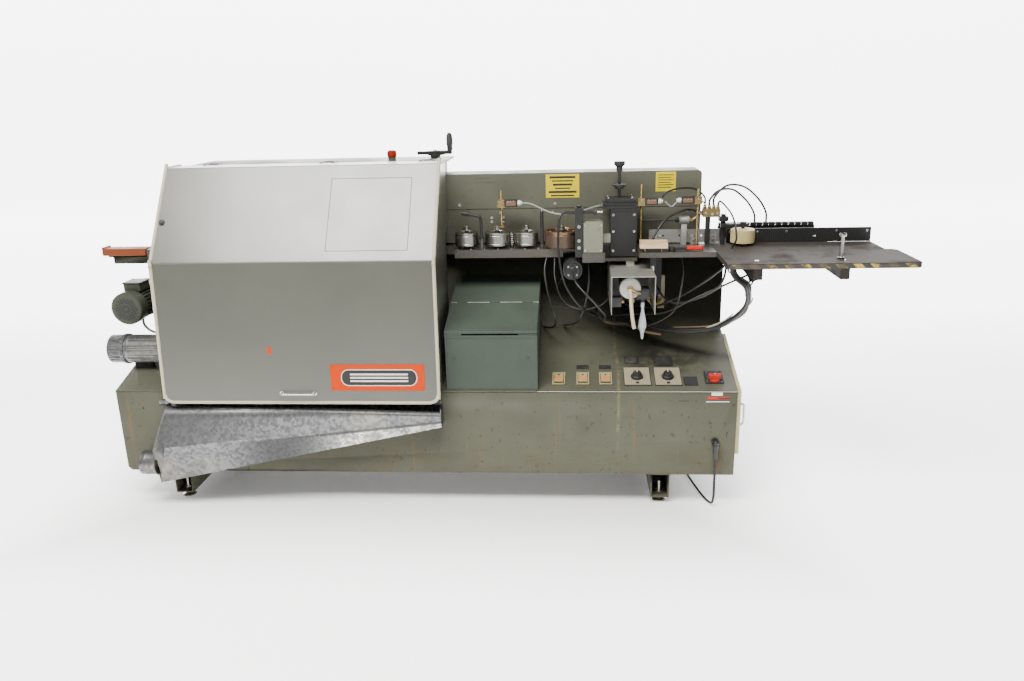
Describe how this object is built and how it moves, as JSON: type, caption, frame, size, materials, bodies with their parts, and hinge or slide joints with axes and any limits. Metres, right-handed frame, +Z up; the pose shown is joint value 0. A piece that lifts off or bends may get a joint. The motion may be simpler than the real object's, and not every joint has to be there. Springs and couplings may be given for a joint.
{
  "type": "edge banding machine",
  "caption": "Long edge banding machine: grey-green base, hinged hood, pressure beam, roller and glue unit, strip table, slanted control panel and chip chute.",
  "frame": {"origin": "centre of the machine's bounding box on the floor, without the mains cord", "axes": "+X along the feed line towards the infeed table, +Y from the operator's side to the back, +Z up"},
  "size_m": [2.98, 1.087, 1.314],
  "materials": {
    "machine_paint": "satin",
    "hood_paint": "satin",
    "box_paint": "satin",
    "bed_iron": "satin",
    "table_steel": "worn",
    "bright_steel": "satin",
    "galvanised": "spangled",
    "aluminium": "satin",
    "black_metal": "satin",
    "black_plastic": "matt",
    "black_rubber": "matt",
    "hose_rubber": "satin",
    "brass": "dull",
    "cream_edge": "satin",
    "orange_badge": "gloss",
    "red_plastic": "gloss",
    "orange_rocker": "gloss",
    "brown_bar": "gloss",
    "wood": "raw",
    "urethane": "satin",
    "motor_paint": "satin",
    "light_grey": "satin",
    "cover_sheet": "dull",
    "copper_roller": "satin"
  },
  "bodies": {
    "frame": {"cabinet": "machine_paint", "levelling_feet": "bright_steel", "bed": "bed_iron", "portal": "machine_paint", "feed_chain": "black_rubber", "infeed_table": "table_steel", "infeed_fence": "black_metal", "alu_fence": "aluminium", "fence_post": "black_metal", "roller_plate": "bed_iron", "glue_cartridge": "black_metal", "glue_box": "light_grey", "glue_tower": "black_metal", "glue_motor": "black_metal", "cover_box": "cover_sheet", "pump_motor": "light_grey", "switch_rods": "brass", "limit_switches": "black_plastic", "cylinder_body": "aluminium", "air_fittings": "brass", "air_hoses": "hose_rubber", "toolbox": "box_paint", "panel_plates": "black_plastic", "chute": "galvanised", "dust_duct": "galvanised", "side_motor": "motor_paint", "outfeed_bar": "brown_bar", "wood_block": "wood", "cord_gland": "black_plastic", "power_cord": "black_rubber", "cord_coil": "black_rubber", "plug": "black_plastic", "trim_units": "light_grey"},
    "beam": {"beam": "machine_paint"},
    "handwheel": {"handwheel": "black_metal"},
    "crank_grip": {"crank_grip": "black_plastic"},
    "hood": {"hood_shell": "hood_paint", "hood_trim": "cream_edge", "hood_handle": "bright_steel", "hood_badge": "orange_badge"},
    "box_lid": {"box_lid": "box_paint"},
    "side_door": {"side_door": "cream_edge"},
    "roller_1": {"roller_1": "aluminium"},
    "roller_2": {"roller_2": "aluminium"},
    "roller_3": {"roller_3": "aluminium"},
    "glue_roller": {"glue_roller": "copper_roller"},
    "tape_roller": {"tape_roller": "urethane"},
    "glue_plunger": {"glue_plunger": "black_metal"},
    "cylinder_rod": {"cylinder_rod": "bright_steel"},
    "rocker_1": {"rocker_1": "orange_rocker"},
    "rocker_2": {"rocker_2": "orange_rocker"},
    "rocker_3": {"rocker_3": "orange_rocker"},
    "knob_1": {"knob_1": "black_plastic"},
    "knob_2": {"knob_2": "black_plastic"},
    "main_knob": {"main_knob": "red_plastic"},
    "clamp_lever": {"clamp_lever": "black_metal"},
    "red_lever": {"red_lever": "red_plastic"},
    "stop_button": {"stop_button": "red_plastic"},
    "saw_blade": {"saw_blade": "bright_steel"},
    "trim_cutter": {"trim_cutter": "bright_steel"}
  },
  "joints": [
    {"name": "beam_lift", "type": "slide", "parent": "frame", "child": "beam", "axis": [0, 0, 1], "range_m": [0, 0.04]},
    {"name": "handwheel_turn", "type": "hinge", "parent": "frame", "child": "handwheel", "pos_m": [-0.151, 0.12, 1.24], "axis": [0, 0, 1], "range_deg": [0, 2890]},
    {"name": "crank_grip_spin", "type": "hinge", "parent": "handwheel", "child": "crank_grip", "pos_m": [-0.095, 0.12, 1.28], "axis": [0, 0, 1], "continuous": true},
    {"name": "hood_open", "type": "hinge", "parent": "frame", "child": "hood", "pos_m": [-0.55, 0.02, 1.222], "axis": [-1, 0, 0], "range_deg": [0, 70]},
    {"name": "box_lid_open", "type": "hinge", "parent": "frame", "child": "box_lid", "pos_m": [0.079, -0.11, 0.7165], "axis": [-1, 0, 0], "range_deg": [0, 80]},
    {"name": "side_door_open", "type": "hinge", "parent": "frame", "child": "side_door", "pos_m": [0.95, 0.08, 0.37], "axis": [0, 0, 1], "range_deg": [0, 110]},
    {"name": "roller_1_spin", "type": "hinge", "parent": "frame", "child": "roller_1", "pos_m": [-0.029, 0.006, 0.93], "axis": [0, 0, 1], "continuous": true},
    {"name": "roller_2_spin", "type": "hinge", "parent": "frame", "child": "roller_2", "pos_m": [0.085, 0.004, 0.93], "axis": [0, 0, 1], "continuous": true},
    {"name": "roller_3_spin", "type": "hinge", "parent": "frame", "child": "roller_3", "pos_m": [0.195, 0.005, 0.93], "axis": [0, 0, 1], "continuous": true},
    {"name": "glue_roller_spin", "type": "hinge", "parent": "frame", "child": "glue_roller", "pos_m": [0.326, -0.015, 0.93], "axis": [0, 0, 1], "continuous": true},
    {"name": "tape_roller_spin", "type": "hinge", "parent": "frame", "child": "tape_roller", "pos_m": [0.983, 0.007, 0.93], "axis": [0, 0, 1], "continuous": true},
    {"name": "glue_plunger_press", "type": "slide", "parent": "frame", "child": "glue_plunger", "axis": [0, 0, -1], "range_m": [0, 0.03]},
    {"name": "cylinder_rod_stroke", "type": "slide", "parent": "frame", "child": "cylinder_rod", "axis": [1, 0, 0], "range_m": [0, 0.016]},
    {"name": "rocker_1_rock", "type": "hinge", "parent": "frame", "child": "rocker_1", "pos_m": [0.314, -0.23415, 0.4639], "axis": [1, 0, 0], "range_deg": [0, 16]},
    {"name": "rocker_2_rock", "type": "hinge", "parent": "frame", "child": "rocker_2", "pos_m": [0.4, -0.23415, 0.4639], "axis": [1, 0, 0], "range_deg": [0, 16]},
    {"name": "rocker_3_rock", "type": "hinge", "parent": "frame", "child": "rocker_3", "pos_m": [0.481, -0.23415, 0.4639], "axis": [1, 0, 0], "range_deg": [0, 16]},
    {"name": "knob_1_turn", "type": "hinge", "parent": "frame", "child": "knob_1", "pos_m": [0.5935, -0.2227, 0.47359], "axis": [0, -0.2869, 0.958], "range_deg": [0, 270]},
    {"name": "knob_2_turn", "type": "hinge", "parent": "frame", "child": "knob_2", "pos_m": [0.702, -0.2227, 0.47359], "axis": [0, -0.2869, 0.958], "range_deg": [0, 270]},
    {"name": "main_knob_turn", "type": "hinge", "parent": "frame", "child": "main_knob", "pos_m": [0.863, -0.24503, 0.4669], "axis": [0, -0.2869, 0.958], "range_deg": [0, 90]},
    {"name": "clamp_lever_turn", "type": "hinge", "parent": "frame", "child": "clamp_lever", "pos_m": [0.03, -0.03, 0.96], "axis": [0, 0, 1], "range_deg": [0, 90]},
    {"name": "red_lever_turn", "type": "hinge", "parent": "frame", "child": "red_lever", "pos_m": [0.716, -0.108, 0.906], "axis": [0, 0, -1], "range_deg": [0, 60]},
    {"name": "stop_button_press", "type": "slide", "parent": "frame", "child": "stop_button", "axis": [0, 0, -1], "range_m": [0, 0.004], "stiffness_N_per_m": 900, "springref_m": -0.004},
    {"name": "saw_spin", "type": "hinge", "parent": "frame", "child": "saw_blade", "pos_m": [-0.3, -0.02, 0.85], "axis": [0, 0, 1], "continuous": true},
    {"name": "trim_cutter_spin", "type": "hinge", "parent": "frame", "child": "trim_cutter", "pos_m": [-0.6, -0.045, 0.92], "axis": [0, 0, 1], "continuous": true}
  ],
  "couplings": [
    {"joint": "handwheel_turn", "follows": "beam_lift", "rad_per_m": 1256.6}
  ]
}
